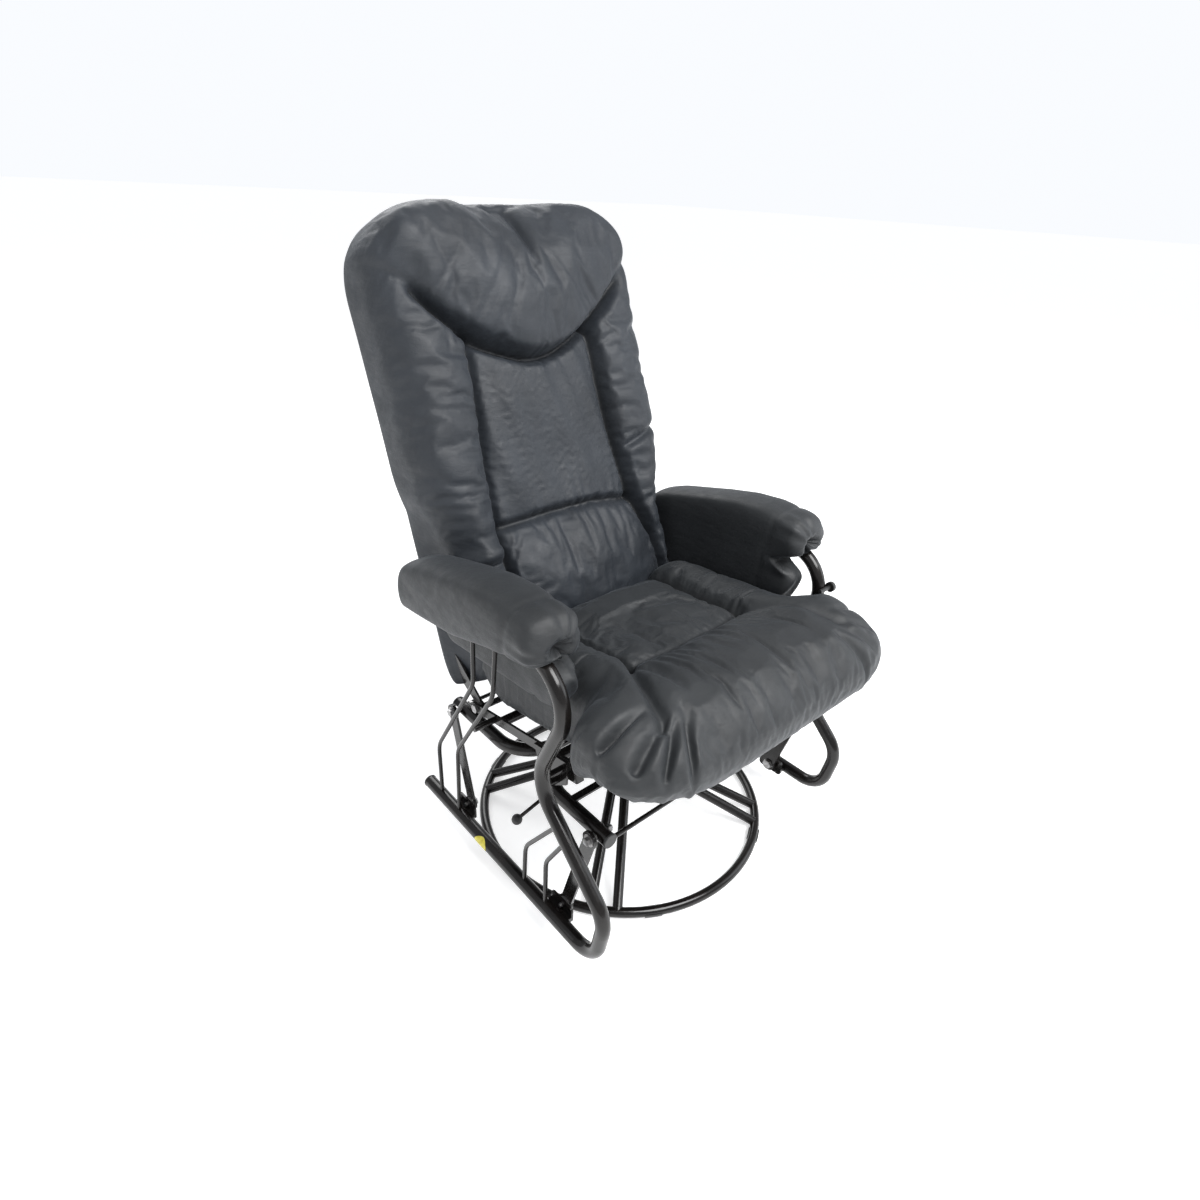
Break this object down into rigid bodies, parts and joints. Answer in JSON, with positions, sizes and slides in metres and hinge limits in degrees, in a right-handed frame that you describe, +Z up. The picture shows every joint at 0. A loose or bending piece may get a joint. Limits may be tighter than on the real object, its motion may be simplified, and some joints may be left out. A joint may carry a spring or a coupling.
{
  "type": "swivel glider recliner",
  "caption": "Black tubular steel chair on a round ring base: swivels, glides on four links, reclines, with puffy leather back, seat and arm pads.",
  "frame": {"origin": "on the floor at the swivel axis, the centre of the base ring", "axes": "+Z up, the sitter faces -Y, +X is the sitter's left"},
  "size_m": [0.706, 0.8846, 1.1447],
  "materials": {
    "black_steel": "gloss black powder coat",
    "leather": "soft black leather with a blue-grey sheen",
    "black_plastic": "satin black moulded",
    "zinc_steel": "zinc plated",
    "plywood": "bare plywood",
    "sticker": "blank yellow vinyl"
  },
  "bodies": {
    "base": {"base_ring": "black_steel", "leg_pair_front_left": "black_steel", "leg_pair_front_right": "black_steel", "leg_pair_rear_right": "black_steel", "leg_pair_rear_left": "black_steel", "floor_glides": "black_plastic", "base_hub": "black_steel", "swivel_lower_race": "zinc_steel", "bearing_balls": "zinc_steel", "ball_cage": "black_plastic", "swivel_bolt": "zinc_steel"},
    "carrier": {"swivel_upper_race": "zinc_steel", "carrier_pedestal": "black_steel", "carrier_front_tube": "black_steel", "carrier_rear_tube": "black_steel", "carrier_tube_clamps": "black_steel", "carrier_end_caps": "black_plastic", "tie_rods": "black_steel", "cross_straps": "black_steel", "upper_pivot_bolts": "zinc_steel", "lock_lever_bracket": "black_steel"},
    "lock_lever": {"lock_lever_rod": "black_steel", "lock_lever_knob": "black_plastic"},
    "link_front_right": {"front_right_link": "black_steel", "front_right_link_bearings": "zinc_steel"},
    "link_front_left": {"front_left_link": "black_steel", "front_left_link_bearings": "zinc_steel"},
    "link_rear_right": {"rear_right_link": "black_steel", "rear_right_link_bearings": "zinc_steel"},
    "link_rear_left": {"rear_left_link": "black_steel", "rear_left_link_bearings": "zinc_steel"},
    "seat": {"side_frame_right": "black_steel", "side_frame_left": "black_steel", "rear_spindles_right": "black_steel", "rear_spindles_left": "black_steel", "front_spindles_right": "black_steel", "front_spindles_left": "black_steel", "rail_end_caps": "black_plastic", "lower_link_brackets": "black_steel", "lower_pivot_bolts": "zinc_steel", "oval_sticker": "sticker", "seat_rail_right": "black_steel", "seat_rail_left": "black_steel", "seat_cross_rails": "black_steel", "seat_springs": "zinc_steel", "frame_brackets": "black_steel", "front_rail_blocks": "black_steel", "back_hinge_pins": "zinc_steel", "seat_cushion": "leather", "arm_pad_right": "leather", "arm_pad_left": "leather"},
    "recline_lock": {"recline_knob": "black_plastic"},
    "back": {"back_frame": "black_steel", "back_hinge_plates": "black_steel", "back_cross_rails": "black_steel", "back_board": "plywood", "back_rear_cover": "leather", "back_cushion": "leather", "headrest_cushion": "leather"}
  },
  "joints": [
    {"name": "swivel", "type": "hinge", "parent": "base", "child": "carrier", "pos_m": [0, 0, 0.1435], "axis": [0, 0, 1], "continuous": true},
    {"name": "glide", "type": "hinge", "parent": "carrier", "child": "link_rear_right", "pos_m": [-0.285, 0.188, 0.264], "axis": [1, 0, 0], "range_deg": [-10, 10], "stiffness_Nm_per_rad": 170, "springref_deg": -4.01},
    {"name": "glide_rear_left", "type": "hinge", "parent": "carrier", "child": "link_rear_left", "pos_m": [0.285, 0.188, 0.264], "axis": [1, 0, 0], "range_deg": [-10, 10]},
    {"name": "glide_front_right", "type": "hinge", "parent": "carrier", "child": "link_front_right", "pos_m": [-0.285, -0.224, 0.264], "axis": [1, 0, 0], "range_deg": [-10, 10]},
    {"name": "glide_front_left", "type": "hinge", "parent": "carrier", "child": "link_front_left", "pos_m": [0.285, -0.224, 0.264], "axis": [1, 0, 0], "range_deg": [-10, 10]},
    {"name": "seat_rock", "type": "hinge", "parent": "link_rear_right", "child": "seat", "pos_m": [-0.285, 0.135, 0.07], "axis": [1, 0, 0], "range_deg": [-13.5, 13.5]},
    {"name": "lock_lever", "type": "hinge", "parent": "carrier", "child": "lock_lever", "pos_m": [-0.086, -0.03, 0.202], "axis": [0, 1, 0], "range_deg": [0, 14]},
    {"name": "recline", "type": "hinge", "parent": "seat", "child": "back", "pos_m": [0, 0.1249, 0.3045], "axis": [-1, 0, 0], "range_deg": [0, 22]},
    {"name": "recline_lock", "type": "hinge", "parent": "seat", "child": "recline_lock", "pos_m": [0.316, -0.2014, 0.512], "axis": [1, 0, 0], "range_deg": [-90, 90]}
  ],
  "couplings": [
    {"joint": "glide_rear_left", "follows": "glide", "ratio": 1},
    {"joint": "glide_front_right", "follows": "glide", "ratio": 1},
    {"joint": "glide_front_left", "follows": "glide", "ratio": 1},
    {"joint": "seat_rock", "follows": "glide", "ratio": -1.345}
  ]
}
